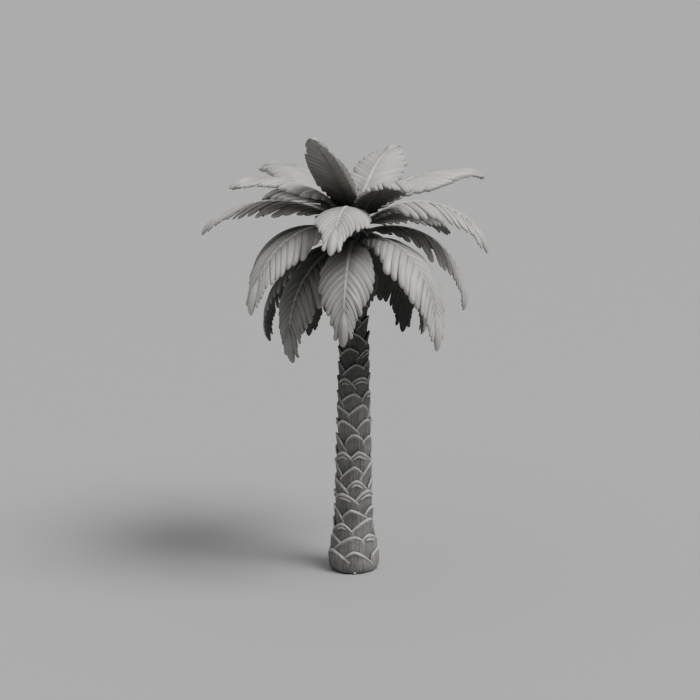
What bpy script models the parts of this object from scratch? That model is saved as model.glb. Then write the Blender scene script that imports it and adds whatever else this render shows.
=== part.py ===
"""Palm tree with a thick trunk clad in old leaf bases and a crown of arching, drooping fronds.

The plant stands at its real size in metres, with +Z up and its origin at the centre of the flat
cut at ground level. The trunk is one solid: a bulging foot, a long taper and rows of leaf bases
that end in a bare head inside the crown. Every frond is one thin blade that starts 0.3 mm clear
of that head. Its outline is cut to the rib between the leaflets.

Angles are in degrees. An azimuth runs anticlockwise from +X, seen from above.
"""

from dataclasses import dataclass
from math import cos, exp, pi, radians, sin, tan

import bmesh
import bpy
from mathutils import Vector

# Clearance that neighbouring pieces keep
CLEARANCE = 0.0003

# Trunk profile: straight taper plus a swelling at the foot
TRUNK_SIDES = 24
TRUNK_RADIUS_AT_GROUND = 0.380
TRUNK_TAPER = 0.0265
FOOT_SWELL = 0.100
FOOT_SWELL_HEIGHT = 0.28
FOOT_SWELL_REACH = 0.45
FOOT_ROUNDING_HEIGHT = 0.12
FOOT_ROUNDING_DEPTH = 0.16
FOOT_ROUNDING_POWER = 2.5
FOOT_RINGS = (0.0, 0.03, FOOT_ROUNDING_HEIGHT)

# Leaf bases on the trunk: rows that alternate by half a base, each with a pointed upper edge
BASES_ROUND = 6
BASE_ROW_HEIGHT = 0.34
BASE_FIRST_EDGE = 0.42
BASE_POINT_RISE = 0.075
BASE_EDGE_DEPTH = 0.035
BASE_EDGE_RISE = 0.020
CLAD_TOP = 5.62

# Bare head that carries the fronds, inside the crown
HEAD_RADIUS = 0.200
HEAD_BOTTOM = 5.80
HEAD_TOP = 6.72
HEAD_DOME_RADIUS = 0.110
HEAD_DOME_TOP = 6.78

# Frond blade
LEAFLETS_A_SIDE = 12
FIRST_LEAFLET = 0.09
LAST_LEAFLET = 0.87
WIDEST_LEAFLET = 0.32
LEAFLET_LENGTH = 0.80
BASE_LEAFLET_SHARE = 0.45
TIP_LEAFLET_SHARE = 0.36
TIP_SHORTENING_POWER = 1.3
SLANT_AT_BASE = 52.0
SLANT_AT_TIP = 30.0
SHOULDER = 0.86
NOTCH_WIDTH = 0.012
CURL = 1.45
BLADE_THICKNESS = 0.028
RIB_HALF_WIDTH = 0.035
RIB_RISE = 0.030
PETIOLE_HALF_WIDTH = 0.045
PETIOLE_HALF_DEPTH = 0.040
PETIOLE_SHOULDER = 0.3
ROLL_REACH = 0.4
RIB_STEPS = 120

# Plain finishes: colour and roughness
BARK = ((0.16, 0.155, 0.148), 0.75)
LEAF = ((0.40, 0.39, 0.37), 0.55)


@dataclass(frozen=True)
class Frond:
    """One frond, set by the curve of its rib."""

    name: str
    azimuth: float
    lift: float
    droop: float
    bend: float
    length: float
    seat: float
    sweep: float = 0.0
    width: float = 1.0
    roll: float = 0.0


# Name, azimuth, lift, droop, bend, length, seat, and where they matter sweep, width and roll
FRONDS = (
    Frond("upper_frond_1", -108, 45, 21, 1.2, 2.50, 6.63, 0, 0.86, 12),
    Frond("upper_frond_2", 72, 39, 41, 1.2, 2.60, 6.62),
    Frond("upper_frond_3", -63, 46, 82, 2.2, 2.05, 6.48, 0, 0.90),
    Frond("upper_frond_4", 133, 44, 68, 1.2, 2.55, 6.58),
    Frond("upper_frond_5", 27, 41, 70, 1.4, 2.70, 6.52),
    Frond("middle_frond_1", -97, 41, 96, 1.1, 2.60, 6.40),
    Frond("middle_frond_2", -150, 52, 75, 1.1, 2.50, 6.50),
    Frond("middle_frond_3", -24, 38, 110, 1.3, 2.75, 6.40),
    Frond("middle_frond_4", -173, 32, 86, 1.4, 2.75, 6.38),
    Frond("middle_frond_5", 137, 36, 118, 2.0, 2.55, 6.36),
    Frond("middle_frond_6", 48, 14, 60, 1.5, 2.60, 6.32),
    Frond("middle_frond_7", 98, 20, 95, 1.2, 2.60, 6.34),
    Frond("middle_frond_8", -138, 27, 112, 1.0, 2.90, 6.24),
    Frond("middle_frond_9", 172, 20, 130, 1.3, 2.45, 6.20),
    Frond("middle_frond_10", -9, 20, 122, 1.1, 2.70, 6.24),
    Frond("middle_frond_11", 74, 0, 95, 1.2, 2.50, 6.18),
    Frond("lower_frond_1", -51, 22, 121, 0.95, 3.10, 6.10, 8),
    Frond("lower_frond_2", -95, 5, 93, 1.2, 2.75, 6.10),
    Frond("lower_frond_3", -130, -4, 108, 1.2, 2.78, 6.04),
    Frond("lower_frond_4", 56, -14, 90, 1.3, 2.65, 6.04),
    Frond("lower_frond_5", 120, -28, 58, 1.3, 2.60, 6.04),
    Frond("lower_frond_6", 163, -12, 96, 1.3, 2.65, 6.04),
    Frond("lower_frond_7", 87, -30, 62, 1.2, 2.10, 5.98, 0, 0.80),
    Frond("lower_frond_8", 8, -20, 85, 1.2, 2.15, 6.02, 0, 0.90),
)


def smooth(x):
    """Ease from 0 to 1, flat at both ends."""
    x = min(max(x, 0.0), 1.0)
    return x * x * (3.0 - 2.0 * x)


def material(name, finish):
    """Return a plain material with one Principled shader."""
    colour, roughness = finish
    made = bpy.data.materials.new(name)
    made.use_nodes = True
    shader = made.node_tree.nodes["Principled BSDF"]
    shader.inputs["Base Color"].default_value = (*colour, 1.0)
    shader.inputs["Roughness"].default_value = roughness
    shader.inputs["Metallic"].default_value = 0.0
    return made


def add_object(name, shape, finish):
    """Turn a finished bmesh into a named object with its own material."""
    bmesh.ops.triangulate(shape, faces=shape.faces[:])
    bmesh.ops.recalc_face_normals(shape, faces=shape.faces[:])
    mesh = bpy.data.meshes.new(name)
    shape.to_mesh(mesh)
    shape.free()
    mesh.materials.append(material(name, finish))
    made = bpy.data.objects.new(name, mesh)
    bpy.context.collection.objects.link(made)


def trunk_radius(height):
    """Radius over the edges of the leaf bases at a height above the ground."""
    radius = TRUNK_RADIUS_AT_GROUND - TRUNK_TAPER * height
    radius += FOOT_SWELL * exp(-((height - FOOT_SWELL_HEIGHT) / FOOT_SWELL_REACH) ** 2)
    if height < FOOT_ROUNDING_HEIGHT:
        below = 1.0 - height / FOOT_ROUNDING_HEIGHT
        radius *= 1.0 - FOOT_ROUNDING_DEPTH * below ** FOOT_ROUNDING_POWER
    return radius


def trunk_ring(height, depth, point_rise, turned):
    """Points round the trunk, lifted to a point at the middle of each leaf base.

    A depth below zero sets the ring in from the edges of the bases, and turned shifts the
    points by half a base.
    """
    points = []
    for side in range(TRUNK_SIDES):
        angle = 2.0 * pi * side / TRUNK_SIDES
        phase = BASES_ROUND * angle + (pi if turned else 0.0)
        z = height + point_rise * cos(phase)
        radius = trunk_radius(z) + depth
        points.append(Vector((radius * cos(angle), radius * sin(angle), z)))
    return points


def plain_ring(radius, height):
    """Points of a level ring."""
    step = 2.0 * pi / TRUNK_SIDES
    return [Vector((radius * cos(k * step), radius * sin(k * step), height))
            for k in range(TRUNK_SIDES)]


def trunk_rings():
    """All rings of the trunk, from the cut at the ground to the top of the head."""
    rings = [plain_ring(trunk_radius(z), z) for z in FOOT_RINGS]
    edge = BASE_FIRST_EDGE
    turned = False
    while edge < CLAD_TOP:
        rings.append(trunk_ring(edge, 0.0, BASE_POINT_RISE, turned))
        rings.append(trunk_ring(edge + BASE_EDGE_RISE, -BASE_EDGE_DEPTH, BASE_POINT_RISE, turned))
        edge += BASE_ROW_HEIGHT
        turned = not turned
    rings.append(plain_ring(HEAD_RADIUS, HEAD_BOTTOM))
    rings.append(plain_ring(HEAD_RADIUS, HEAD_TOP))
    rings.append(plain_ring(HEAD_DOME_RADIUS, HEAD_DOME_TOP))
    return rings


def build_trunk():
    """Bridge the rings into one closed solid."""
    shape = bmesh.new()
    loops = [[shape.verts.new(point) for point in ring] for ring in trunk_rings()]
    for low, high in zip(loops, loops[1:]):
        for k in range(TRUNK_SIDES):
            after = (k + 1) % TRUNK_SIDES
            shape.faces.new((low[k], low[after], high[after], high[k]))
    shape.faces.new(loops[0][::-1])
    shape.faces.new(loops[-1])
    add_object("trunk", shape, BARK)


def head_reach(azimuth):
    """How far the many-sided head reaches in one direction."""
    step = 2.0 * pi / TRUNK_SIDES
    off = (azimuth + step / 2.0) % step - step / 2.0
    return HEAD_RADIUS * cos(off)


class Blade:
    """The curved surface that a frond's outline is laid on."""

    def __init__(self, frond):
        self.frond = frond
        azimuth = radians(frond.azimuth)
        start = head_reach(azimuth) + CLEARANCE
        self.outward = Vector((cos(azimuth), sin(azimuth), 0.0))
        self.across = Vector((-sin(azimuth), cos(azimuth), 0.0))
        point = self.outward * start + Vector((0.0, 0.0, frond.seat))
        self.points = [point.copy()]
        for k in range(RIB_STEPS):
            tangent, _side = self.directions((k + 0.5) / RIB_STEPS)
            point = point + tangent * (frond.length / RIB_STEPS)
            self.points.append(point.copy())

    def directions(self, along):
        """Direction of the rib and of the blade's left side at a share of its length."""
        frond = self.frond
        turn = radians(frond.azimuth + frond.sweep * along * along)
        rise = radians(frond.lift - frond.droop * along ** frond.bend)
        tangent = Vector((cos(rise) * cos(turn), cos(rise) * sin(turn), sin(rise)))
        side = Vector((-sin(turn), cos(turn), 0.0))
        roll = radians(frond.roll) * smooth(along / ROLL_REACH)
        return tangent, side * cos(roll) - tangent.cross(side) * sin(roll)

    def at(self, along, across):
        """Point on the blade's upper face, and the direction out of that face."""
        place = min(max(along, 0.0), 1.0) * RIB_STEPS
        k = min(int(place), RIB_STEPS - 1)
        rib = self.points[k].lerp(self.points[k + 1], place - k)
        tangent, side = self.directions(min(along, 1.0))
        up = tangent.cross(side)
        angle = CURL * across
        point = rib + side * (sin(angle) / CURL) - up * ((1.0 - cos(angle)) / CURL)
        return point, up * cos(angle) + side * sin(angle)


def leaflet_length(root, frond):
    """Length of the leaflet rooted at a share of the rib."""
    rise = smooth((root - FIRST_LEAFLET) / (WIDEST_LEAFLET - FIRST_LEAFLET))
    fall = smooth((root - WIDEST_LEAFLET) / (LAST_LEAFLET - WIDEST_LEAFLET))
    share = BASE_LEAFLET_SHARE + (1.0 - BASE_LEAFLET_SHARE) * rise
    share *= 1.0 - (1.0 - TIP_LEAFLET_SHARE) * fall ** TIP_SHORTENING_POWER
    return LEAFLET_LENGTH * frond.width * share


def slant(root):
    """Angle between a leaflet and the rib."""
    share = (root - FIRST_LEAFLET) / (LAST_LEAFLET - FIRST_LEAFLET)
    return radians(SLANT_AT_BASE + (SLANT_AT_TIP - SLANT_AT_BASE) * share)


def forward(root, across, frond):
    """Share of the rib that a leaflet's line has reached at a distance across the blade."""
    return root + (across - RIB_HALF_WIDTH) / tan(slant(root)) / frond.length


class FrondShape:
    """The solid of one frond: a petiole, a raised rib and a blade cut between the leaflets.

    A point of the blade is a pair of vertices, one on its upper and one on its lower face.
    """

    def __init__(self, frond):
        self.frond = frond
        self.blade = Blade(frond)
        self.shape = bmesh.new()
        step = (LAST_LEAFLET - FIRST_LEAFLET) / LEAFLETS_A_SIDE
        self.cuts = [FIRST_LEAFLET + k * step for k in range(LEAFLETS_A_SIDE + 1)]
        self.left = [self.pair(cut, RIB_HALF_WIDTH) for cut in self.cuts]
        self.right = [self.pair(cut, -RIB_HALF_WIDTH) for cut in self.cuts]
        self.ridge = [self.ridge_point(cut) for cut in self.cuts]

    def pair(self, along, across):
        """Add a point of the blade."""
        point, out = self.blade.at(along, across)
        lower = point - out * BLADE_THICKNESS
        return self.shape.verts.new(point), self.shape.verts.new(lower)

    def ridge_point(self, along):
        """Add a point on the raised middle of the rib."""
        point, out = self.blade.at(along, 0.0)
        return self.shape.verts.new(point + out * RIB_RISE)

    def face(self, *corners):
        """Add a face."""
        self.shape.faces.new(corners)

    def wall(self, outline):
        """Close the blade's edge along an outline."""
        for near, far in zip(outline, outline[1:]):
            self.face(near[0], far[0], far[1], near[1])

    def add_rib(self):
        """Two upper faces and one lower face between neighbouring cuts."""
        left, right, ridge = self.left, self.right, self.ridge
        for k in range(LEAFLETS_A_SIDE):
            self.face(left[k][0], ridge[k], ridge[k + 1], left[k + 1][0])
            self.face(ridge[k], right[k][0], right[k + 1][0], ridge[k + 1])
            self.face(left[k][1], left[k + 1][1], right[k + 1][1], right[k][1])

    def add_leaflet(self, k, roots, sign):
        """One leaflet on the left or right, from the rib to its point."""
        middle = (self.cuts[k] + self.cuts[k + 1]) / 2.0
        reach = RIB_HALF_WIDTH + leaflet_length(middle, self.frond) * sin(slant(middle))
        shoulder = RIB_HALF_WIDTH + SHOULDER * (reach - RIB_HALF_WIDTH)
        gap = NOTCH_WIDTH / 2.0 / self.frond.length
        trailing = self.pair(forward(self.cuts[k], shoulder, self.frond) + gap, sign * shoulder)
        tip = self.pair(forward(middle, reach, self.frond), sign * reach)
        leading = self.pair(forward(self.cuts[k + 1], shoulder, self.frond) - gap, sign * shoulder)
        for side in (0, 1):
            self.face(roots[k][side], trailing[side], leading[side], roots[k + 1][side])
            self.face(trailing[side], tip[side], leading[side])
        self.wall([roots[k], trailing, tip, leading, roots[k + 1]])

    def add_last_leaflet(self):
        """The leaflet in line with the rib."""
        span = (1.0 - LAST_LEAFLET) / 2.0
        wide = RIB_HALF_WIDTH + span * self.frond.length * tan(radians(SLANT_AT_TIP)) / 2.0
        outline = [self.left[-1], self.pair(LAST_LEAFLET + span, wide), self.pair(1.0, 0.0),
                   self.pair(LAST_LEAFLET + span, -wide), self.right[-1]]
        for near, far in zip(outline, outline[1:]):
            self.face(self.ridge[-1], near[0], far[0])
        self.face(outline[0][1], outline[1][1], outline[3][1], outline[4][1])
        self.face(outline[1][1], outline[2][1], outline[3][1])
        self.wall(outline)

    def add_petiole(self):
        """The stalk, from the first cut to an upright face that stands clear of the head."""
        half_depth = PETIOLE_HALF_DEPTH / cos(radians(self.frond.lift))
        corners = ((1, PETIOLE_SHOULDER), (0, 1), (-1, PETIOLE_SHOULDER), (-1, -1), (1, -1))
        heel = []
        for across, up in corners:
            offset = self.blade.across * (across * PETIOLE_HALF_WIDTH)
            offset += Vector((0.0, 0.0, up * half_depth))
            heel.append(self.shape.verts.new(self.blade.points[0] + offset))
        left, right = self.left[0], self.right[0]
        ring = [left[0], self.ridge[0], right[0], right[1], left[1]]
        for k in range(len(ring)):
            after = (k + 1) % len(ring)
            self.face(heel[k], heel[after], ring[after], ring[k])
        self.face(*heel)

    def build(self):
        """Make the whole frond."""
        self.add_rib()
        for k in range(LEAFLETS_A_SIDE):
            self.add_leaflet(k, self.left, 1.0)
            self.add_leaflet(k, self.right, -1.0)
        self.add_last_leaflet()
        self.add_petiole()
        add_object(self.frond.name, self.shape, LEAF)


def main():
    """Clear the scene and build the plant."""
    for old in list(bpy.data.objects):
        bpy.data.objects.remove(old, do_unlink=True)
    build_trunk()
    for frond in FRONDS:
        FrondShape(frond).build()


main()
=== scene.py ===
"""Looks of the palm tree: leaflets, ribs, leaf bases and heart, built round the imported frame.

Everything is in metres in the frame's own axes, with +Z up and the origin at the centre of the
flat cut under the trunk. An azimuth runs anticlockwise from +X, seen from above.
"""

import logging
from dataclasses import dataclass, field
from enum import Enum
from math import cos, exp, pi, radians, sin, sqrt
from random import Random
from typing import Callable, Sequence

import bmesh
import bpy
from mathutils import Matrix, Vector, noise

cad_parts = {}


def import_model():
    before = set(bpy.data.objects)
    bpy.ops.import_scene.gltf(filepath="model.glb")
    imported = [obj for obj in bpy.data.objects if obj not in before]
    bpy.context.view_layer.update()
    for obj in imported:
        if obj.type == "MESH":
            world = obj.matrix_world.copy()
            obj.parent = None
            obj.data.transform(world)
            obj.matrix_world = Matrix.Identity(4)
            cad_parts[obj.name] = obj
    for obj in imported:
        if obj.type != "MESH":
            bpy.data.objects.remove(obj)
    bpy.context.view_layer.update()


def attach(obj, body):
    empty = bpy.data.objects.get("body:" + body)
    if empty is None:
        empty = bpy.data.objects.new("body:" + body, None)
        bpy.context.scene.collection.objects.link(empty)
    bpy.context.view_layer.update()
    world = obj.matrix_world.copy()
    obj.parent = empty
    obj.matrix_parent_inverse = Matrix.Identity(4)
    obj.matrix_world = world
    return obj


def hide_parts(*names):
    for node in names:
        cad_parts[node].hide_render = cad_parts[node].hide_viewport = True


LOG = logging.getLogger("palm")
BODY = "root"
MERGE_DISTANCE = 1e-5
Place = Callable[[float, float], Vector]
Ring = tuple[Vector, Vector, Vector]


class Tier(Enum):
    """The three storeys of the crown."""

    UPPER = "upper"
    MIDDLE = "middle"
    LOWER = "lower"


class Slot(Enum):
    """Material slots of the record."""

    BARK = "bark"
    FROND = "frond"


class Shade(Enum):
    """Painted shade of a frond's leaflets: share of the tone, of it below, and lost at the heart."""

    PLAIN = (1.0, 0.17, 0.72)
    # Fainter painted shade below and at the heart, for the top frond.
    OPEN = (1.0, 0.30, 0.10)
    # The next two take darker tones that paint the shadow on the lower fronds.
    DULL = (0.62, 0.17, 0.72)
    DARK = (0.50, 0.17, 0.72)

    @property
    def leaf_tones(self) -> tuple[float, ...]:
        """The tones of its leaf finishes, which are dealt out to the leaflets."""
        return tuple(tone * self.value[0] for tone in (0.47, 0.51, 0.43))


def smooth(x: float) -> float:
    """Ease from 0 to 1, flat at both ends."""
    x = min(max(x, 0.0), 1.0)
    return x * x * (3.0 - 2.0 * x)


def lerp(low: float, high: float, share: float) -> float:
    """Mix two numbers."""
    return low + (high - low) * share


class Signal:
    """A value in a shader that takes part in Python sums."""

    def __init__(self, tree: bpy.types.NodeTree, socket: bpy.types.NodeSocket) -> None:
        """Wrap a socket.

        Args:
            tree: The node tree that the socket is in.
            socket: The output that gives the value.
        """
        self.tree = tree
        self.socket = socket

    def combine(self, operation: str, first: "Signal | float", second: "Signal | float") -> "Signal":
        """Add a Math node.

        Args:
            operation: The node's operation.
            first: Its first value.
            second: Its second value.

        Returns:
            The node's result.
        """
        node = self.tree.nodes.new("ShaderNodeMath")
        node.operation = operation
        for socket, value in zip(node.inputs, (first, second)):
            if isinstance(value, Signal):
                self.tree.links.new(value.socket, socket)
            else:
                socket.default_value = value
        return Signal(self.tree, node.outputs[0])

    def __add__(self, other: "Signal | float") -> "Signal":
        """Sum."""
        return self.combine("ADD", self, other)

    __radd__ = __add__

    def __sub__(self, other: "Signal | float") -> "Signal":
        """Difference."""
        return self.combine("SUBTRACT", self, other)

    def __rsub__(self, other: float) -> "Signal":
        """Difference with the number first."""
        return self.combine("SUBTRACT", other, self)

    def __mul__(self, other: "Signal | float") -> "Signal":
        """Product."""
        return self.combine("MULTIPLY", self, other)

    __rmul__ = __mul__

    def sine(self) -> "Signal":
        """Sine of the value in radians."""
        return self.combine("SINE", self, 0.0)

    def size(self) -> "Signal":
        """Value without its sign."""
        return self.combine("ABSOLUTE", self, 0.0)

    def band(self, low: float, high: float) -> "Signal":
        """Soft step.

        Args:
            low: Value that gives 0.
            high: Value that gives 1.

        Returns:
            The eased share between the two.
        """
        node = self.tree.nodes.new("ShaderNodeMapRange")
        node.interpolation_type = "SMOOTHSTEP"
        self.tree.links.new(self.socket, node.inputs["Value"])
        node.inputs["From Min"].default_value = low
        node.inputs["From Max"].default_value = high
        return Signal(self.tree, node.outputs["Result"])


class Paint:
    """One material under construction."""

    def __init__(self, name: str) -> None:
        """Start from a bare Principled shader.

        Args:
            name: Name of the material.
        """
        self.material = bpy.data.materials.new(name)
        self.material.use_nodes = True
        self.tree = self.material.node_tree
        self.shader = self.tree.nodes["Principled BSDF"]

    def node(self, kind: str, settings: dict | None = None, **inputs: object) -> bpy.types.Node:
        """Add a node.

        Args:
            kind: Type of the node.
            settings: Its properties by name, such as a Vector Math node's operation, set first.
            **inputs: Values or links of its sockets, by name with _ for a space.

        Returns:
            The node.
        """
        made = self.tree.nodes.new(kind)
        for key, value in (settings or {}).items():
            setattr(made, key, value)
        for key, value in inputs.items():
            self.feed(made.inputs[key.replace("_", " ")], value)
        return made

    def feed(self, socket: bpy.types.NodeSocket, value: object) -> None:
        """Link or set a socket.

        Args:
            socket: The input.
            value: A signal, another socket or a plain value.
        """
        if isinstance(value, Signal):
            value = value.socket
        if isinstance(value, bpy.types.NodeSocket):
            self.tree.links.new(value, socket)
        else:
            socket.default_value = value

    def signal(self, node: bpy.types.Node, output: str) -> Signal:
        """Wrap one output of a node."""
        return Signal(self.tree, node.outputs[output])

    def places(self) -> bpy.types.NodeSocket:
        """Object coordinates."""
        return self.node("ShaderNodeTexCoord").outputs["Object"]

    def surface(self) -> tuple[bpy.types.NodeSocket, Signal, Signal]:
        """The piece's own map.

        Returns:
            The map as a vector, then its two parts.
        """
        vector = self.node("ShaderNodeTexCoord").outputs["UV"]
        parts = self.node("ShaderNodeSeparateXYZ", Vector=vector)
        return vector, self.signal(parts, "X"), self.signal(parts, "Y")

    def from_axis(self, places: bpy.types.NodeSocket) -> Signal:
        """Distance from the plant's upright axis.

        Args:
            places: Object coordinates.

        Returns:
            The distance in metres.
        """
        flat = self.node("ShaderNodeMapping", Vector=places, Scale=(1.0, 1.0, 0.0))
        made = self.node("ShaderNodeVectorMath", {"operation": "LENGTH"}, Vector=flat.outputs["Vector"])
        return self.signal(made, "Value")

    def height(self, places: bpy.types.NodeSocket) -> Signal:
        """Height above the ground, in metres."""
        return self.signal(self.node("ShaderNodeSeparateXYZ", Vector=places), "Z")

    def tint(self, shade: Signal, tone: float, warmth: float) -> Signal:
        """A warm grey whose brightness follows a signal.

        Args:
            shade: Brightness, 1 where the tone is as given.
            tone: Linear brightness of the grey.
            warmth: How much less blue it has than red.

        Returns:
            The colour.
        """
        return self.blend(shade * (1.0 / 1.5), grey(0.0), grey(tone * 1.5, warmth))

    def grain(self, vector: object, scale: Sequence[float], detail: float = 4.0,
              roughness: float = 0.55) -> Signal:
        """Noise, stretched along the axes.

        Args:
            vector: Coordinates.
            scale: Scale along each axis.
            detail: Octaves of the noise.
            roughness: Weight of the fine octaves.

        Returns:
            The noise, about 0.5.
        """
        mapped = self.node("ShaderNodeMapping", Vector=vector, Scale=tuple(scale))
        made = self.node("ShaderNodeTexNoise", Vector=mapped.outputs["Vector"], Scale=1.0,
                         Detail=detail, Roughness=roughness)
        return self.signal(made, "Fac")

    def blend(self, share: Signal, low: object, high: object) -> Signal:
        """Mix two colours.

        Args:
            share: 0 gives the first, 1 the second.
            low: First colour.
            high: Second colour.

        Returns:
            The mixed colour.
        """
        made = self.tree.nodes.new("ShaderNodeMix")
        made.data_type = "RGBA"
        for index, value in ((0, share), (6, low), (7, high)):
            self.feed(made.inputs[index], value)
        return Signal(self.tree, made.outputs[2])

    def finish(self, colour: object, roughness: object, height: Signal, depth: float,
               sheen: float = 0.0) -> bpy.types.Material:
        """Wire the shader.

        Args:
            colour: Base colour.
            roughness: Roughness.
            height: Relief, from 0 to about 1.
            depth: Depth of the relief in metres.
            sheen: Soft sheen, the same all over.

        Returns:
            The material.
        """
        bump = self.node("ShaderNodeBump", Strength=1.0, Distance=depth, Height=height)
        self.feed(self.shader.inputs["Base Color"], colour)
        self.feed(self.shader.inputs["Roughness"], roughness)
        self.feed(self.shader.inputs["Normal"], bump.outputs["Normal"])
        self.shader.inputs["Sheen Weight"].default_value = sheen
        self.shader.inputs["Sheen Roughness"].default_value = 0.6
        return self.material


def grey(value: float, warmth: float = 0.03) -> tuple[float, float, float, float]:
    """A warm grey.

    Args:
        value: Linear brightness.
        warmth: How much less blue it has than red.

    Returns:
        The colour with alpha.
    """
    return value * (1.0 + warmth * 0.5), value, value * (1.0 - warmth), 1.0


@dataclass(frozen=True)
class LeafFinish:
    """Leaflet skin: a pale middle, faint veins, mottling, and painted shade in seams, underside and heart.
    """

    name: str
    tone: float
    painted_underside_share: float
    painted_heart_loss: float
    creases: float = 2.6
    relief: float = 0.006
    painted_underside_lift: float = 0.19
    painted_heart_reach: tuple[float, float] = (0.20, 1.25)
    painted_heart_top: tuple[float, float] = (6.70, 7.25)
    painted_seam_shade: float = 0.36
    painted_root_shade: float = 0.22
    warmth: float = 0.07

    def make(self) -> bpy.types.Material:
        """Build the material.

        Returns:
            The material.
        """
        paint = Paint(self.name)
        places = paint.places()
        _map, along, around = paint.surface()
        across = (around * (2.0 * pi) - pi / 2.0).sine()
        # below marks the underside, which takes painted shade
        below = around.band(0.0, 0.04) * (1.0 - around.band(0.46, 0.50))
        upper = 1.0 - below * (1.0 - along.band(0.90, 0.98))
        seam = across.size().band(0.66, 0.98)
        middle = 1.0 - across.size().band(0.0, 0.16)
        wander = paint.grain(places, (3.0,) * 3, 2.0) * 2.4
        creases = (across * (pi * self.creases) + wander).sine() * 0.5 + 0.5
        mottle = paint.grain(places, (5.0,) * 3, 5.0)
        broad = paint.grain(places, (1.4,) * 3, 2.0)
        specks = paint.grain(places, (38.0,) * 3, 3.0).band(0.62, 0.72)
        # painted shade towards the heart of the crown, eased on the highest fronds
        inner = 1.0 - paint.from_axis(places).band(*self.painted_heart_reach)
        heart = inner * (1.0 - paint.height(places).band(*self.painted_heart_top) * 0.6)
        shade = 0.72 + mottle * 0.24 + broad * 0.22 + middle * 0.04 + creases * 0.07
        # painted shade in the seams between leaflets, and dark specks
        shade = shade * (1.0 - seam * self.painted_seam_shade) * (1.0 - specks * 0.08)
        shade = shade * (1.0 - along.band(0.9, 1.0) * 0.08)
        # painted shade at the leaflet roots, by the rib
        shade = shade * (1.0 - (1.0 - along.band(0.06, 0.30)) * self.painted_root_shade)
        # painted shade on the undersides, lighter high in the crown
        under = self.painted_underside_share + paint.height(places).band(6.6, 7.4) * self.painted_underside_lift
        shade = shade * (under + upper * (1.0 - under))
        shade = shade * (1.0 - heart * self.painted_heart_loss)
        roughness = 0.34 + mottle * 0.16 + specks * 0.12 + (1.0 - upper) * 0.2
        fine = paint.grain(places, (70.0,) * 3, 3.0)
        height = creases * 0.55 + fine * 0.10 - seam * 0.3
        return paint.finish(paint.tint(shade, self.tone, self.warmth), roughness, height, self.relief, 0.05)


@dataclass(frozen=True)
class RibFinish:
    """Rib and petiole: pale and smooth, faint lengthwise lines, painted shade below and at the heart."""

    name: str
    tone: float
    painted_underside_share: float = 0.24
    painted_heart_loss: float = 0.62
    painted_heart_reach: tuple[float, float] = (0.20, 1.10)
    warmth: float = 0.07

    def make(self) -> bpy.types.Material:
        """Build the material.

        Returns:
            The material.
        """
        paint = Paint(self.name)
        places = paint.places()
        surface, _along, around = paint.surface()
        lines = paint.grain(surface, (5.0, 46.0, 1.0), 4.0)
        mottle = paint.grain(places, (9.0,) * 3, 4.0)
        shade = 0.76 + (lines * 0.5 + mottle * 0.5).band(0.3, 0.7) * 0.30
        # painted shade on the underside of the rib
        shade = shade * (self.painted_underside_share + around.band(0.48, 0.52) * (1.0 - self.painted_underside_share))
        # painted shade towards the heart
        heart = 1.0 - paint.from_axis(places).band(*self.painted_heart_reach)
        shade = shade * (1.0 - heart * self.painted_heart_loss)
        colour = paint.tint(shade, self.tone, self.warmth)
        edge = (around * (2.0 * pi)).sine().size()
        height = lines * 0.8 + edge * 0.2
        return paint.finish(colour, 0.40 + mottle * 0.18, height, 0.002, sheen=0.08)


@dataclass(frozen=True)
class HuskFinish:
    """Leaf-base face: upright fibres, dark pits, dusty patches, painted shade in grooves and under the
    crown.
    """

    name: str = "husk"
    tone: float = 0.240
    foot_gain: float = 1.08
    foot_reach: tuple[float, float] = (0.3, 1.2)
    foot_loss: float = 0.16
    painted_crown_shadow_reach: tuple[float, float] = (2.7, 4.1)
    painted_crown_shadow_loss: float = 0.62
    warmth: float = 0.05

    def make(self) -> bpy.types.Material:
        """Build the material.

        Returns:
            The material.
        """
        paint = Paint(self.name)
        places = paint.places()
        surface, up, _across = paint.surface()
        fibres = paint.grain(surface, (1.6, 30.0, 1.0), 6.0, 0.62)
        coarse = paint.grain(surface, (0.9, 9.0, 1.0), 3.0)
        mottle = paint.grain(places, (4.0, 4.0, 2.5), 5.0)
        pits = paint.grain(places, (60.0, 60.0, 22.0), 3.0).band(0.60, 0.72)
        lip = up.band(0.86, 1.0)
        height = paint.height(places)
        # Paler towards the foot, and the painted shadow of the crown darkens the upper trunk.
        shaded = self.foot_gain - height.band(*self.foot_reach) * self.foot_loss
        shaded = shaded - height.band(*self.painted_crown_shadow_reach) * self.painted_crown_shadow_loss
        # Each face is a little lighter just under its lip and darker low down, where painted shade fills
        # the groove over the lip of the row below.
        shade = fibres * 0.55 + coarse * 0.25 + mottle * 0.30 + lip * 0.16 - pits * 0.14
        shade = (0.34 + shade.band(0.30, 0.80) * 1.06) * (1.0 - (1.0 - up.band(0.35, 0.75)) * 0.22)
        colour = paint.tint(shade * shaded, self.tone, self.warmth)
        roughness = 0.66 + mottle * 0.2 + pits * 0.1
        relief = fibres * 0.75 + coarse * 0.45 - pits * 0.35
        return paint.finish(colour, roughness, relief, 0.012)


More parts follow.
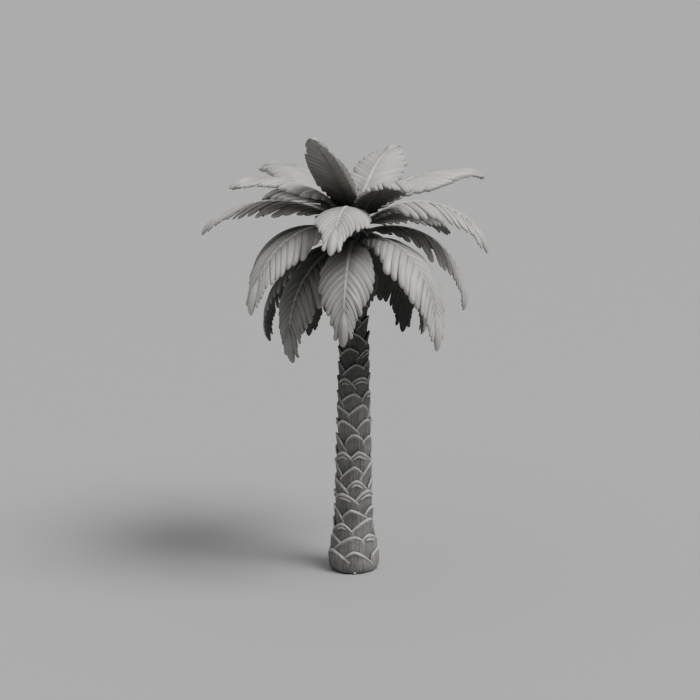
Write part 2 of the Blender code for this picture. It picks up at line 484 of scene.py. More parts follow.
@dataclass(frozen=True)
class LipFinish:
    """Raised edge of a leaf base: paler, worn smooth, with hair cracks, and painted shade under the crown.
    """

    name: str = "lip"
    tone: float = 0.50
    painted_crown_shadow_reach: tuple[float, float] = (2.8, 4.2)
    painted_crown_shadow_loss: float = 0.50
    warmth: float = 0.04

    def make(self) -> bpy.types.Material:
        """Build the material.

        Returns:
            The material.
        """
        paint = Paint(self.name)
        places = paint.places()
        surface, _along, _across = paint.surface()
        grain = paint.grain(surface, (22.0, 3.0, 1.0), 4.0)
        cracks = paint.grain(surface, (60.0, 2.0, 1.0), 3.0).band(0.60, 0.70)
        mottle = paint.grain(places, (7.0,) * 3, 4.0)
        # Painted shadow of the crown darkens the lips up the trunk.
        shaded = 1.0 - paint.height(places).band(*self.painted_crown_shadow_reach) * self.painted_crown_shadow_loss
        shade = 0.62 + (grain * 0.4 + mottle * 0.6 - cracks * 0.25).band(0.22, 0.68) * 0.48
        colour = paint.tint(shade * shaded, self.tone, self.warmth)
        height = grain * 0.6 + mottle * 0.4 - cracks * 0.8
        return paint.finish(colour, 0.50 + mottle * 0.2, height, 0.004)


@dataclass(frozen=True)
class PlainFinish:
    """Floor: a pale studio surface with a faint tooth."""

    name: str = "studio_floor"
    tone: float = 0.38

    def make(self) -> bpy.types.Material:
        """Build the material.

        Returns:
            The material.
        """
        paint = Paint(self.name)
        tooth = paint.grain(paint.places(), (2.0,) * 3, 3.0)
        return paint.finish(grey(self.tone, 0.01), 0.75, tooth, 0.0005)


class Former:
    """A mesh in the making, with one map that follows its surface."""

    def __init__(self) -> None:
        """Start empty."""
        self.shape = bmesh.new()
        self.shape.loops.layers.uv.new("surface")

    def sheet(self, along: int, across: int, place: Place, finish: int = 0) -> None:
        """Lay a grid over a surface.

        Args:
            along: Divisions along the sheet.
            across: Divisions across it.
            place: Gives a point for a share along, 0 to 1, and a place across, -1 to 1.
            finish: Index of its material.
        """
        made = bmesh.ops.create_grid(self.shape, x_segments=along, y_segments=across, size=1.0,
                                     calc_uvs=True)
        for vert in made["verts"]:
            vert.co = place((vert.co.x + 1.0) / 2.0, vert.co.y)
        if finish:
            for face in {face for vert in made["verts"] for face in vert.link_faces}:
                face.material_index = finish

    def tube(self, along: int, around: int, centre: Callable[[float], Ring]) -> None:
        """Wrap a grid round a line, closed where its radius falls to nothing.

        Args:
            along: Divisions along the tube.
            around: Divisions round it.
            centre: Gives, for a share along, the middle and the two half-axes as vectors.
        """
        rings = {}

        def place(share: float, turn: float) -> Vector:
            """Point on the tube.

            Args:
                share: Share along it.
                turn: Share of a half turn round it.

            Returns:
                The point.
            """
            key = round(share, 6)
            if key not in rings:
                rings[key] = centre(share)
            middle, side, up = rings[key]
            return middle + side * cos(pi * turn) + up * sin(pi * turn)

        self.sheet(along, around, place)

    def thicken(self, depth: float) -> None:
        """Give every open sheet a thickness on its inner side.

        Args:
            depth: Thickness in metres.
        """
        bmesh.ops.remove_doubles(self.shape, verts=self.shape.verts[:], dist=MERGE_DISTANCE)
        bmesh.ops.dissolve_degenerate(self.shape, edges=self.shape.edges[:], dist=MERGE_DISTANCE)
        bmesh.ops.solidify(self.shape, geom=self.shape.faces[:], thickness=depth)

    def close(self) -> None:
        """Merge seams and turn the faces out."""
        bmesh.ops.remove_doubles(self.shape, verts=self.shape.verts[:], dist=MERGE_DISTANCE)
        bmesh.ops.dissolve_degenerate(self.shape, edges=self.shape.edges[:], dist=MERGE_DISTANCE)
        bmesh.ops.recalc_face_normals(self.shape, faces=self.shape.faces[:])

    def piece(self, name: str, finishes: Sequence[bpy.types.Material], slot: Slot | None,
              sharp: float = 42.0) -> bpy.types.Object:
        """Turn the mesh into a shaded piece that rides on the plant.

        Args:
            name: Name of the piece.
            finishes: Its materials.
            slot: Material slot of the record, not set on the piece; None keeps the piece off the plant.
            sharp: Angle in degrees above which an edge stays crisp.

        Returns:
            The object.
        """
        mesh = bpy.data.meshes.new(name)
        self.shape.to_mesh(mesh)
        self.shape.free()
        mesh.shade_smooth()
        mesh.set_sharp_from_angle(angle=radians(sharp))
        for finish in finishes:
            mesh.materials.append(finish)
        made = bpy.data.objects.new(name, mesh)
        bpy.context.collection.objects.link(made)
        if slot is not None:
            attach(made, BODY)
        return made


@dataclass(frozen=True)
class Frond:
    """One frond, set by the curve of its rib: angles in degrees, lengths in metres.

    The rib leaves at the lift above level and sinks by the droop on its way to the tip, late where
    the bend is high. The sweep turns it sideways towards the tip, and the roll tips the blade over.
    The width is a factor on its leaflets. The parting says how far these stand apart, 1 for a grown
    frond and less for a young one. The curl is the bend across the blade, in radians a metre, and the
    shade is the painted shade of its leaflets, darker for lower fronds where it paints their shadow.
    """

    name: str
    azimuth: float
    lift: float
    droop: float
    bend: float
    length: float
    seat: float
    sweep: float = 0.0
    width: float = 1.0
    roll: float = 0.0
    parting: float = 1.0
    curl: float = 1.45
    shade: Shade = Shade.PLAIN

    @property
    def tier(self) -> Tier:
        """The storey that the frond grows in."""
        return Tier(self.name.split("_")[0])


# Name, azimuth, lift, droop, bend, length and seat, and then, where they matter, sweep, width,
# roll, parting, curl and shade
FRONDS = (
    Frond("upper_frond_1", -108, 45, 21, 1.2, 2.50, 6.63, 0, 0.80, 12, 0.25, 1.75, Shade.OPEN),
    Frond("upper_frond_2", 72, 39, 41, 1.2, 2.60, 6.62, parting=0.6),
    Frond("upper_frond_3", -63, 46, 82, 2.2, 2.05, 6.48, 0, 0.90, parting=0.7),
    Frond("upper_frond_4", 133, 44, 68, 1.2, 2.55, 6.58, parting=0.5),
    Frond("upper_frond_5", 27, 41, 70, 1.4, 2.70, 6.52, parting=0.5),
    Frond("middle_frond_1", -97, 41, 96, 1.1, 2.60, 6.40, -7),
    Frond("middle_frond_2", -150, 52, 75, 1.1, 2.50, 6.50, parting=0.7),
    Frond("middle_frond_3", -24, 38, 110, 1.3, 2.75, 6.40),
    Frond("middle_frond_4", -173, 32, 86, 1.4, 2.75, 6.38, parting=1.05),
    Frond("middle_frond_5", 137, 36, 118, 2.0, 2.55, 6.36),
    Frond("middle_frond_6", 48, 14, 60, 1.5, 2.60, 6.32),
    Frond("middle_frond_7", 98, 20, 95, 1.2, 2.60, 6.34),
    Frond("middle_frond_8", -138, 27, 112, 1.0, 2.90, 6.24),
    Frond("middle_frond_9", 172, 20, 130, 1.3, 2.45, 6.20),
    Frond("middle_frond_10", -9, 20, 122, 1.1, 2.70, 6.24),
    Frond("middle_frond_11", 74, 0, 95, 1.2, 2.50, 6.18),
    Frond("lower_frond_1", -51, 22, 121, 0.95, 3.10, 6.10, 8),
    # Lower fronds 2 to 6 take darker leaflet tones that paint the shadow under the crown.
    Frond("lower_frond_2", -95, 5, 93, 1.2, 2.75, 6.10, shade=Shade.DULL),
    Frond("lower_frond_3", -130, -4, 108, 1.2, 2.78, 6.04, shade=Shade.DARK),
    Frond("lower_frond_4", 56, -14, 90, 1.3, 2.65, 6.04, shade=Shade.DARK),
    Frond("lower_frond_5", 120, -28, 58, 1.3, 2.60, 6.04, shade=Shade.DARK),
    Frond("lower_frond_6", 163, -12, 96, 1.3, 2.65, 6.04, shade=Shade.DARK),
    Frond("lower_frond_7", 87, -30, 62, 1.2, 2.10, 5.98, 0, 0.80),
    Frond("lower_frond_8", 8, -20, 85, 1.2, 2.15, 6.02, 0, 0.90),
)


@dataclass
class Blade:
    """The curved surface that a frond's leaflets lie on."""

    frond: Frond
    steps: int = 160
    roll_reach: float = 0.4
    head_radius: float = 0.200
    points: list[Vector] = field(default_factory=list)

    def __post_init__(self) -> None:
        """Walk along the rib and note its points."""
        azimuth = radians(self.frond.azimuth)
        point = Vector((self.head_radius * cos(azimuth), self.head_radius * sin(azimuth),
                        self.frond.seat))
        self.points.append(point.copy())
        for k in range(self.steps):
            tangent, _side = self.directions((k + 0.5) / self.steps)
            point = point + tangent * (self.frond.length / self.steps)
            self.points.append(point.copy())

    def directions(self, along: float) -> tuple[Vector, Vector]:
        """Direction of the rib and of the blade's left side.

        Args:
            along: Share of the rib's length.

        Returns:
            Both directions.
        """
        frond = self.frond
        along = max(along, 0.0)
        turn = radians(frond.azimuth + frond.sweep * along * along)
        rise = radians(frond.lift - frond.droop * along ** frond.bend)
        tangent = Vector((cos(rise) * cos(turn), cos(rise) * sin(turn), sin(rise)))
        side = Vector((-sin(turn), cos(turn), 0.0))
        roll = radians(frond.roll) * smooth(along / self.roll_reach)
        return tangent, side * cos(roll) - tangent.cross(side) * sin(roll)

    def frame(self, along: float) -> tuple[Vector, Vector, Vector, Vector]:
        """Point on the rib and the directions there.

        Args:
            along: Share of the rib's length, below 0 on its root and no further than the tip.

        Returns:
            The point, then the directions along, to the left and out of the blade.
        """
        tangent, side = self.directions(min(along, 1.0))
        if along <= 0.0:
            rib = self.points[0] + tangent * (along * self.frond.length)
        else:
            place = min(along, 1.0) * self.steps
            k = min(int(place), self.steps - 1)
            rib = self.points[k].lerp(self.points[k + 1], place - k)
        return rib, tangent, side, tangent.cross(side)

    def at(self, along: float, across: float, height: float = 0.0) -> Vector:
        """Point on or over the blade.

        Args:
            along: Share of the rib's length.
            across: Distance from the rib, to the left above zero.
            height: Distance out of the upper face.

        Returns:
            The point.
        """
        rib, _tangent, side, up = self.frame(along)
        curl = self.frond.curl
        angle = curl * across
        point = rib + side * (sin(angle) / curl) - up * ((1.0 - cos(angle)) / curl)
        return point + (up * cos(angle) + side * sin(angle)) * height


@dataclass
class Crown:
    """All fronds: leaflets in one piece a frond, and ribs in one piece a tier."""

    seed: int = 41
    leaflets_a_side: int = 17
    crowding: float = 0.25
    first_leaflet: float = 0.050
    last_leaflet: float = 0.86
    widest_leaflet: float = 0.32
    leaflet_length: float = 0.78
    base_share: float = 0.42
    tip_share: float = 0.44
    young_tip_share: float = 0.62
    slant_at_base: float = 50.0
    slant_at_tip: float = 20.0
    bow: float = 24.0
    narrowing: float = 0.13
    least_half: float = 0.046
    overlap: float = 1.24
    young_overlap: float = 2.50
    round_from: float = 0.88
    cut: float = 0.35
    young_cut: float = 0.90
    pillow: float = 0.62
    under_pillow: float = 0.12
    shingle: float = 0.011
    tip_drop: float = 0.045
    half_thickness: float = 0.013
    root_across: float = 0.012
    end_leaflet: float = 0.095
    young_end_leaflet: float = 0.135
    round_tip_from: float = 0.50
    brim_half: float = 0.62
    young_brim_half: float = 0.465
    young_lengthening: float = 0.12
    tip_fall_power: float = 1.3
    young_round_from: float = 0.96
    farthest: float = 0.995
    place_jitter: float = 0.06
    length_jitter: float = 0.05
    slant_jitter: float = 3.0
    width_jitter: float = 0.15
    drop_range: tuple[float, float] = (0.5, 1.4)
    tilt_range: tuple[float, float] = (-0.004, 0.008)
    lift_jitter: float = 0.006
    bite_limit: float = 1.3
    end_start: float = 0.10
    end_round_from: float = 0.55
    end_thickness: float = 0.010
    rib_width: float = 0.046
    rib_height: float = 0.036
    petiole_width: float = 0.080
    petiole_height: float = 0.046
    petiole_end: float = 0.14
    petiole_sink: float = 0.016
    rib_start: float = -0.03
    rib_end: float = 0.95
    rib_tip_share: float = 0.22
    rib_rise: float = 0.017
    rib_divisions: tuple[int, int] = (56, 10)
    along_divisions: int = 16
    around_divisions: int = 16
    # The lower tier's darker rib tone paints the shadow under the crown.
    rib_tones: dict[Tier, float] = field(default_factory=lambda: {Tier.UPPER: 0.68, Tier.MIDDLE: 0.70,
                                                                  Tier.LOWER: 0.42})

    def slant(self, root: float) -> float:
        """Angle in radians between a leaflet and the rib at a share of the rib."""
        share = (root - self.first_leaflet) / (self.last_leaflet - self.first_leaflet)
        return radians(lerp(self.slant_at_base, self.slant_at_tip, share))

    def length_at(self, root: float, frond: Frond) -> float:
        """Length of a leaflet.

        Args:
            root: Share of the rib where it grows.
            frond: The frond.

        Returns:
            The length in metres.
        """
        rise = smooth((root - self.first_leaflet) / (self.widest_leaflet - self.first_leaflet))
        fall = smooth((root - self.widest_leaflet) / (self.last_leaflet - self.widest_leaflet))
        tip_share = lerp(self.young_tip_share, self.tip_share, frond.parting)
        share = lerp(self.base_share, 1.0, rise) * lerp(1.0, tip_share, fall ** self.tip_fall_power)
        return self.leaflet_length * frond.width * share

    def root(self, count: float) -> float:
        """Share of the rib where a leaflet grows, closer together at both ends.

        Args:
            count: Place in the row, 0 to 1.

        Returns:
            The share.
        """
        share = count - self.crowding * sin(2.0 * pi * count) / (2.0 * pi)
        return lerp(self.first_leaflet, self.last_leaflet, share)

    def reach(self, share: float) -> float:
        """Share of a leaflet's length at a share of its rings: a flat root, then finer to the tip."""
        first = 1.0 / self.along_divisions
        return sin(max(share - first, 0.0) / (1.0 - first) * pi / 2.0)

    def brim(self, along: float, frond: Frond) -> float:
        """Farthest that a leaflet may reach from the rib, so that the frond's tip is round.

        Args:
            along: Share of the rib's length.
            frond: The frond.

        Returns:
            The distance in metres.
        """
        past = max((along - self.round_tip_from) / (1.0 - self.round_tip_from), 0.0)
        half = lerp(self.young_brim_half, self.brim_half, frond.parting)
        return half * frond.width * max(1.0 - past ** 2, 0.0) ** 0.75

    def lens(self, across: float, face: float, width: float, full: float) -> float:
        """Height of a leaflet's skin over the blade.

        Args:
            across: Place across the leaflet, -1 to 1.
            face: 1 in the middle of the upper face, -1 in the middle of the lower one.
            width: Half the leaflet's width there.
            full: Share of its full thickness there.

        Returns:
            The height in metres.
        """
        arch = (1.0 - across * across) * width
        rise = self.pillow if face > 0.0 else self.under_pillow
        return rise * arch + self.half_thickness * face * full

    def add_leaflet(self, former: Former, blade: Blade, count: float, sign: float,
                    dice: Random) -> None:
        """Lay one leaflet: a pillowed lens that leaves the rib and ends in a round tip.

        Args:
            former: Mesh that takes it.
            blade: Surface of the frond.
            count: Its place in the row, 0 to 1.
            sign: 1 on the left of the rib, -1 on the right.
            dice: Source of its small differences.
        """
        frond = blade.frond
        loose = frond.parting * (1.0 - 0.7 * smooth(count))
        root = self.root(count + dice.uniform(-self.place_jitter, self.place_jitter) / self.leaflets_a_side)
        half_step = (self.root(count + 0.02) - self.root(count - 0.02)) / 0.08 / self.leaflets_a_side
        overlap = lerp(self.young_overlap, self.overlap, frond.parting)
        root_half = half_step * frond.length * overlap
        stretch = dice.uniform(-self.length_jitter, self.length_jitter)
        length = self.length_at(root, frond) * (1.0 + frond.parting * stretch)
        length *= 1.0 + self.young_lengthening * max(1.0 - frond.parting, 0.0)
        slant = self.slant(root) + radians(dice.uniform(-self.slant_jitter, self.slant_jitter))
        bow = radians(self.bow)
        round_from = lerp(self.young_round_from, self.round_from, frond.parting)
        cut = lerp(self.young_cut, self.cut, frond.parting) * (1.0 - 0.6 * smooth((count - 0.6) / 0.4))
        fan = radians(self.slant_at_base - self.slant_at_tip)
        half = root_half * sin(slant) + length * fan / self.leaflets_a_side / 2.0
        widening = dice.uniform(-self.width_jitter, self.width_jitter)
        half = max(half * (1.05 + frond.parting * widening), self.least_half * frond.width)
        drop = self.tip_drop * loose * dice.uniform(*self.drop_range)
        tilt = self.shingle * lerp(0.4, 1.0, frond.parting) + loose * dice.uniform(*self.tilt_range)
        lift = loose * dice.uniform(-self.lift_jitter, self.lift_jitter)

        def place(share: float, turn: float) -> Vector:
            """Point on the leaflet's skin.

            Args:
                share: Share along its rings.
                turn: Share of a half turn round it.

            Returns:
                The point.
            """
            across = cos(pi * turn)
            reach = self.reach(share)
            angle = slant + bow * (0.5 - reach)
            heading = slant + bow * (0.5 - reach / 2.0)
            travel = length * reach
            along = root * frond.length + travel * cos(heading)
            out = self.root_across + travel * sin(heading)
            fade = smooth(reach / 0.35)
            full = 1.0 if share > 0.0 else 0.0
            if reach > round_from:
                full = sqrt(max(1.0 - ((reach - round_from) / (1.0 - round_from)) ** 2, 0.0))
            narrowed = 1.0 - self.narrowing * frond.parting ** 3 * smooth((reach - 0.4) / 0.6)
            width = lerp(root_half, half, fade) * narrowed * full
            late = cut * smooth((reach - 0.5) / 0.5)
            bite = late * min(cos(angle) ** 2 / sin(angle), self.bite_limit)
            along += across * width * lerp(1.0, sin(angle) + bite, fade)
            out -= across * width * cos(angle) * fade * (1.0 - late)
            height = self.lens(across, sin(pi * turn), width * lerp(0.20, 1.0, smooth(reach * 0.9)), full)
            height += full * (lift * reach - tilt * across) - drop * reach ** 4
            along = min(along / frond.length, self.farthest)
            return blade.at(along, sign * min(max(out, 0.0), self.brim(along, frond)), height)

        former.sheet(self.along_divisions, self.around_divisions, place, dice.choice((0, 0, 1, 2)))

    def add_end_leaflet(self, former: Former, blade: Blade) -> None:
        """Lay the last leaflet, in line with the rib.

        Args:
            former: Mesh that takes it.
            blade: Surface of the frond.
        """
        start = self.last_leaflet - self.end_start
        widest = lerp(self.young_end_leaflet, self.end_leaflet, blade.frond.parting)

        def place(share: float, turn: float) -> Vector:
            """Point on the leaflet's skin.

            Args:
                share: Share along its rings.
                turn: Share of a half turn round it.

            Returns:
                The point.
            """
            across = cos(pi * turn)
            reach = self.reach(share)
            full = 1.0 if share > 0.0 else 0.0
            if reach > self.end_round_from:
                full = sqrt(max(1.0 - ((reach - self.end_round_from) / 0.45) ** 2, 0.0))
            width = widest * lerp(0.12, 1.0, smooth(reach / 0.5)) * full
            thick = self.end_thickness * smooth(reach / 0.6)
            height = self.lens(across, sin(pi * turn), width, full) + thick * sin(pi * turn) * full
            return blade.at(lerp(start, 1.0, reach), across * width, height)

        former.sheet(self.along_divisions, self.around_divisions, place)

    def build_leaflets(self, blade: Blade, finishes: Sequence[bpy.types.Material]) -> None:
        """Make the leaflets of one frond and let them stand for its solid.

        Args:
            blade: Surface of the frond.
            finishes: Leaf materials.
        """
        former = Former()
        dice = Random(f"{self.seed} {blade.frond.name}")
        for k in range(self.leaflets_a_side):
            for sign in (1.0, -1.0):
                self.add_leaflet(former, blade, (k + 0.5) / self.leaflets_a_side, sign, dice)
        self.add_end_leaflet(former, blade)
        former.close()
        piece = former.piece(f"{blade.frond.name}_leaflets", finishes, Slot.FROND, 60.0)
        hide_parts(blade.frond.name)
        LOG.info("%s: %d faces", piece.name, len(piece.data.polygons))

    def add_rib(self, former: Former, blade: Blade) -> None:
        """Lay a rib: a stout petiole at the heart that tapers to the frond's tip.

        Args:
            former: Mesh that takes it.
            blade: Surface of the frond.
        """
        def centre(share: float) -> Ring:
            """Ring of the rib.

            Args:
                share: Share along it.

            Returns:
                Its middle and two half-axes.
            """
            along = lerp(self.rib_start, self.rib_end, share)
            rib, _tangent, side, up = blade.frame(along)
            petiole = 1.0 - smooth(along / self.petiole_end)
            taper = lerp(1.0, self.rib_tip_share, smooth(along) * 0.7 + along * 0.3)
            width = lerp(self.rib_width * taper, self.petiole_width, petiole)
            height = lerp(self.rib_height * taper, self.petiole_height, petiole)
            if share in (0.0, 1.0):
                width = height = 0.0
            rise = self.rib_rise * taper - self.petiole_sink * petiole
            return rib + up * rise, side * width, up * height

        former.tube(*self.rib_divisions, centre)

    def build(self) -> None:
        """Make every frond."""
        leaves = {shade: [LeafFinish(f"{shade.name.lower()}_leaf_{k + 1}", tone, *shade.value[1:]).make()
                          for k, tone in enumerate(shade.leaf_tones)] for shade in Shade}
        for tier in Tier:
            rib = RibFinish(f"{tier.value}_rib", self.rib_tones[tier]).make()
            former = Former()
            for frond in FRONDS:
                if frond.tier is tier:
                    blade = Blade(frond)
                    self.build_leaflets(blade, leaves[frond.shade])
                    self.add_rib(former, blade)
            former.close()
            piece = former.piece(f"ribs_{tier.value}", [rib], Slot.FROND)
            LOG.info("%s: %d faces", piece.name, len(piece.data.polygons))


@dataclass
class Trunk:
    """Trunk: a core, leaf bases with fibrous faces and raised lips, and the heart."""

    seed: int = 7
    radius_at_ground: float = 0.380
    taper: float = 0.0265
    foot_swell: float = 0.088
    foot_swell_height: float = 0.28
    foot_swell_reach: float = 0.45
    foot_rounding_height: float = 0.12
    foot_rounding_depth: float = 0.16
    foot_rounding_power: float = 2.5
    head_radius: float = 0.225
    head_bottom: float = 5.70
    head_top: float = 6.70
    bases_round: int = 5
    rows: int = 23
    first_row: float = 0.43
    row_height: float = 0.268
    face_reach: float = 0.56
    face_slope: float = 0.13
    lip_radius: float = 0.025
    tip_flare: float = 0.018
    face_depth: float = 0.018
    arm_fall: float = 0.175
    double_share: float = 0.24
    spears: tuple[tuple[float, float, float], ...] = (
        (20.0, 0.05, 7.02), (140.0, 0.12, 6.92), (-100.0, 0.16, 6.84), (72.0, 0.16, 6.86),
        (-48.0, 0.15, 6.88), (-158.0, 0.17, 6.86), (178.0, 0.16, 6.82), (-12.0, 0.17, 6.82))
    spear_width: float = 0.050
    spear_tone: float = 0.48
    spear_foot: float = 6.45
    core_inset: float = 0.05
    turn_jitter: float = 6.0
    height_jitter: float = 0.04
    fibre_depth: float = 0.009
    core_divisions: tuple[int, int] = (100, 48)
    face_divisions: tuple[int, int] = (14, 36)
    lip_divisions: tuple[int, int] = (34, 9)
    spear_divisions: tuple[int, int] = (22, 14)
    nubs: tuple[tuple[float, float], ...] = ((-88.0, 0.030), (-12.0, 0.050))
    nub_radius: float = 0.027

    def radius(self, height: float) -> float:
        """Radius over the lips.

        Args:
            height: Height above the ground.

        Returns:
            The radius in metres.
        """
        radius = self.radius_at_ground - self.taper * height
        swell = (height - self.foot_swell_height) / self.foot_swell_reach
        radius += self.foot_swell * exp(-swell ** 2)
        if height < self.foot_rounding_height:
            below = 1.0 - height / self.foot_rounding_height
            radius *= 1.0 - self.foot_rounding_depth * below ** self.foot_rounding_power
        narrowing = smooth((height - self.head_bottom) / 0.5)
        return lerp(radius, self.head_radius + 0.03, narrowing)

    def point(self, angle: float, height: float, inset: float) -> Vector:
        """Point at an angle and height, set in from the lips' radius."""
        radius = self.radius(height) - inset
        return Vector((radius * cos(angle), radius * sin(angle), height))

    def add_core(self, former: Former) -> None:
        """Lay the core from the flat cut to the head's rounded top.

        Args:
            former: Mesh that takes it.
        """
        def centre(share: float) -> Ring:
            """Ring of the core.

            Args:
                share: Share along it.

            Returns:
                Its middle and two half-axes.
            """
            height = self.head_top * min(max((share - 0.02) / 0.96, 0.0), 1.0)
            radius = self.radius(height) - self.core_inset * smooth(height / 0.2)
            radius = min(radius, self.radius(height) - 0.002)
            if height > 5.9:
                radius = min(radius, self.head_radius)
            radius *= sqrt(max(1.0 - smooth((height - 6.5) / 0.2) ** 2, 0.0)) * 0.6 + 0.4
            if share in (0.0, 1.0):
                radius = 0.0
            return Vector((0.0, 0.0, height)), Vector((radius, 0.0, 0.0)), Vector((0.0, radius, 0.0))

        former.tube(*self.core_divisions, centre)

    def add_base(self, faces: Former, lips: Former, row: int, place_round: int, dice: Random) -> None:
        """Lay one old leaf base: its face and the lip along its upper edge.

        Args:
            faces: Mesh that takes the face.
            lips: Mesh that takes the lip.
            row: Row, counted from the ground.
            place_round: Its number in the row.
            dice: Source of its small differences.
        """
        turn = 2.0 * pi * (place_round + 0.5 * (row % 2) + 0.10 * row) / self.bases_round
        turn += radians(dice.uniform(-self.turn_jitter, self.turn_jitter))
        top = self.first_row + row * self.row_height
        top += dice.uniform(-self.height_jitter, self.height_jitter)
        half = pi / self.bases_round * dice.uniform(1.10, 1.36)
        peak = dice.choice((-1.0, 1.0)) * dice.uniform(0.02, 0.42)
        falls = [self.arm_fall * arm * dice.uniform(0.75, 1.3) for arm in (1.0 + peak, 1.0 - peak)]
        rounding = dice.uniform(1.25, 1.85)
        proud = dice.uniform(-0.004, 0.008)
        bulge = dice.uniform(0.006, 0.016)
        offset = dice.uniform(0.0, 50.0)
        size = lerp(1.06, 0.78, smooth(row / self.rows))
        tucks = (dice.choice((-0.004, 0.018)), dice.choice((-0.004, 0.018)))

        def flare(across: float, down: float) -> float:
            """How far the base's tip bends out, at a place across and a depth under its edge."""
            return self.tip_flare * exp(-((across - peak) / 0.45) ** 2) * (1.0 - smooth(down / 0.16))

        def edge(across: float) -> float:
            """Height of the upper edge.

            Args:
                across: Place across the base, -1 to 1.

            Returns:
                The height above the ground.
            """
            span = (across - peak) / (1.0 - peak) if across > peak else (peak - across) / (1.0 + peak)
            fall = falls[1] if across > peak else falls[0]
            return max(top - fall * size * span ** rounding, 0.10)

        def face_place(share: float, across: float) -> Vector:
            """Point on the face.

            Args:
                share: Share of the way up it.
                across: Place across the base, -1 to 1.

            Returns:
                The point.
            """
            angle = turn + half * across
            brim = edge(across)
            height = lerp(max(brim - self.face_reach, 0.018), brim, share)
            down = brim - height
            inset = 0.022 - proud + self.face_slope * min(down, 0.40)
            inset -= bulge * (1.0 - across * across) * smooth(down / 0.1) + flare(across, down)
            if row == 0:
                inset = lerp(0.008 + 0.002 * place_round, inset, smooth((height - 0.2) / 0.3))
            fibre = noise.noise(Vector((angle * 34.0, height * 2.2, offset)))
            fibre += 0.5 * noise.noise(Vector((angle * 80.0, height * 4.0, offset + 9.0)))
            return self.point(angle, height, max(inset - self.fibre_depth * fibre, -0.010))

        def add_lip(low: float, high: float, below: float, share_thick: float) -> None:
            """Lay a lip along the edge or under it.

            Args:
                low: Place across the base where it starts.
                high: Place where it ends.
                below: Its distance under the edge.
                share_thick: Share of the full thickness.
            """
            def centre(share: float) -> Ring:
                """Ring of the lip.

                Args:
                    share: Share along it.

                Returns:
                    Its middle and two half-axes.
                """
                across = lerp(low, high, share)
                angle = turn + half * across
                height = edge(across) - below
                thick = self.lip_radius * size * share_thick * (1.0 - 0.5 * abs(2.0 * share - 1.0) ** 3)
                thick *= 1.0 + 0.22 * noise.noise(Vector((angle * 9.0, height * 9.0, offset)))
                tuck = tucks[across > 0.0] * max(abs(across) - 0.70, 0.0) / 0.30
                sunk = thick * (0.5 if below == 0.0 else 0.1) - proud - flare(across, below)
                middle = self.point(angle, height, sunk + tuck)
                out = Vector((cos(angle), sin(angle), 0.0))
                if share in (0.0, 1.0):
                    thick = 0.0
                return middle, out * (thick * 0.9), Vector((0.0, 0.0, thick * 1.1))

            lips.tube(*self.lip_divisions, centre)

        faces.sheet(*self.face_divisions, face_place)
        add_lip(-1.0, 1.0, 0.0, 1.0)
        if dice.random() < self.double_share:
            middle = peak * 0.5
            add_lip(middle - dice.uniform(0.3, 0.6), middle + dice.uniform(0.3, 0.6),
                    dice.uniform(0.055, 0.085), 0.75)

    def add_nubs(self, lips: Former) -> None:
        """Set the two small nubs at the foot.

        Args:
            lips: Mesh that takes them.
        """
        for azimuth, height in self.nubs:
            angle = radians(azimuth)
            radius = self.radius(height) + 0.008
            shift = Matrix.Translation((radius * cos(angle), radius * sin(angle), height))
            bmesh.ops.create_icosphere(lips.shape, subdivisions=3, radius=self.nub_radius,
                                       matrix=shift, calc_uvs=True)

    def add_spears(self, former: Former) -> None:
        """Lay the folded young leaves that stand at the top of the head.

        Args:
            former: Mesh that takes them.
        """
        for azimuth, lean, top in self.spears:
            angle = radians(azimuth)
            out = Vector((cos(angle), sin(angle), 0.0))
            side = Vector((-sin(angle), cos(angle), 0.0))

            def centre(share: float) -> Ring:
                """Ring of the young leaf.

                Args:
                    share: Share along it.

                Returns:
                    Its middle and two half-axes.
                """
                height = lerp(self.spear_foot, top, share)
                middle = out * (0.03 + lean * share ** 1.6) + Vector((0.0, 0.0, height))
                width = self.spear_width * sin(pi * min(max(share, 0.04), 0.985)) ** 0.7 + 0.010
                if share in (0.0, 1.0):
                    width = 0.0
                return middle, side * width, out * (width * 0.45)

            former.tube(*self.spear_divisions, centre)

    def build(self) -> None:
        """Make the trunk's pieces."""
        husk = HuskFinish().make()
        lip = LipFinish().make()
        dice = Random(self.seed)
        core = Former()
        self.add_core(core)
        core.close()
        spears = Former()
        self.add_spears(spears)
        spears.close()
        spear_finish = RibFinish("spear", self.spear_tone).make()
        spear_piece = spears.piece("spear_leaves", [spear_finish], Slot.FROND)
        core_piece = core.piece("trunk_core", [husk], Slot.BARK, 60.0)
        halves = {"lower": Former(), "upper": Former()}
        lips = Former()
        for row in range(self.rows):
            faces = halves["lower" if row < self.rows / 2 else "upper"]
            for k in range(self.bases_round):
                self.add_base(faces, lips, row, k, dice)
        self.add_nubs(lips)
        lips.close()
        pieces = [core_piece, spear_piece, lips.piece("leaf_base_lips", [lip], Slot.BARK, 60.0)]
        for half, faces in halves.items():
            faces.thicken(self.face_depth)
            face_piece = faces.piece(f"{half}_leaf_base_faces", [husk], Slot.BARK, 60.0)
            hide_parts("trunk")
            pieces.append(face_piece)
        for piece in pieces:
            LOG.info("%s: %d faces", piece.name, len(piece.data.polygons))


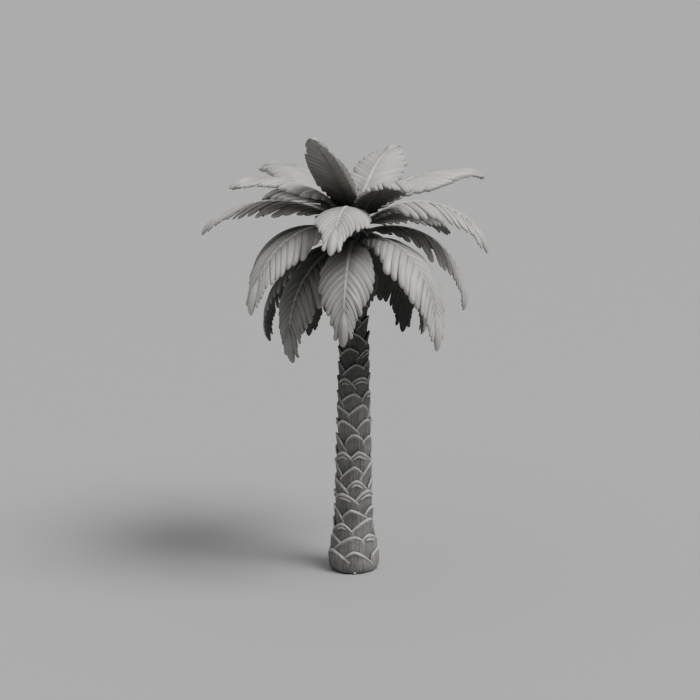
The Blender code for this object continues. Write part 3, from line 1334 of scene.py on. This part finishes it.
@dataclass
class Studio:
    """Floor, lights and the camera at the photo's angle."""

    camera_at: tuple[float, float, float] = (-0.0703, -28.9907, 10.5340)
    camera_pitch: float = 12.5
    lens: float = 85.0
    sensor_width: float = 36.0
    clip_end: float = 5000.0
    key_azimuth: float = -28.0
    key_height: float = 58.0
    key_power: float = 3.3
    key_width: float = 28.0
    dome_azimuth: float = -90.0
    dome_height: float = 88.0
    dome_power: float = 1.3
    dome_width: float = 90.0
    light_distance: float = 30.0
    sky: float = 0.13
    sky_colour: tuple[float, float, float, float] = (0.80, 0.83, 0.88, 1.0)
    floor_size: float = 3000.0

    def add_floor(self) -> None:
        """Lay the pale floor."""
        def place(share: float, across: float) -> Vector:
            """Point on the floor."""
            return Vector((self.floor_size * (share - 0.5), self.floor_size / 2.0 * across, 0.0))

        former = Former()
        former.sheet(1, 1, place)
        former.piece("floor", [PlainFinish().make()], None)

    def add_sun(self, name: str, azimuth: float, height: float, power: float, width: float) -> None:
        """Hang a broad distant light.

        Args:
            name: Name of the light.
            azimuth: Where it stands, in degrees.
            height: Its height over the horizon, in degrees.
            power: Strength.
            width: Angle across it, in degrees.
        """
        data = bpy.data.lights.new(name, "SUN")
        data.energy = power
        data.angle = radians(width)
        light = bpy.data.objects.new(name, data)
        towards = Vector((cos(radians(azimuth)) * cos(radians(height)),
                          sin(radians(azimuth)) * cos(radians(height)), sin(radians(height))))
        light.rotation_euler = towards.to_track_quat("Z", "Y").to_euler()
        light.location = towards * self.light_distance
        bpy.context.collection.objects.link(light)

    def add_camera(self) -> None:
        """Place the camera."""
        data = bpy.data.cameras.new("camera")
        data.lens = self.lens
        data.sensor_width = self.sensor_width
        data.clip_end = self.clip_end
        camera = bpy.data.objects.new("camera", data)
        camera.location = self.camera_at
        camera.rotation_euler = (radians(90.0 - self.camera_pitch), 0.0, 0.0)
        bpy.context.collection.objects.link(camera)
        bpy.context.scene.camera = camera

    def build(self) -> None:
        """Set the stage."""
        self.add_camera()
        self.add_floor()
        self.add_sun("key", self.key_azimuth, self.key_height, self.key_power, self.key_width)
        self.add_sun("dome", self.dome_azimuth, self.dome_height, self.dome_power, self.dome_width)
        world = bpy.data.worlds.new("studio")
        world.use_nodes = True
        background = world.node_tree.nodes["Background"]
        background.inputs["Color"].default_value = self.sky_colour
        background.inputs["Strength"].default_value = self.sky
        bpy.context.scene.world = world


def main() -> None:
    """Load the frame, dress it and note the sizes."""
    logging.basicConfig(level=logging.INFO, format="%(message)s")
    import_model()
    Studio().build()
    Trunk().build()
    Crown().build()


if __name__ == "__main__":
    main()
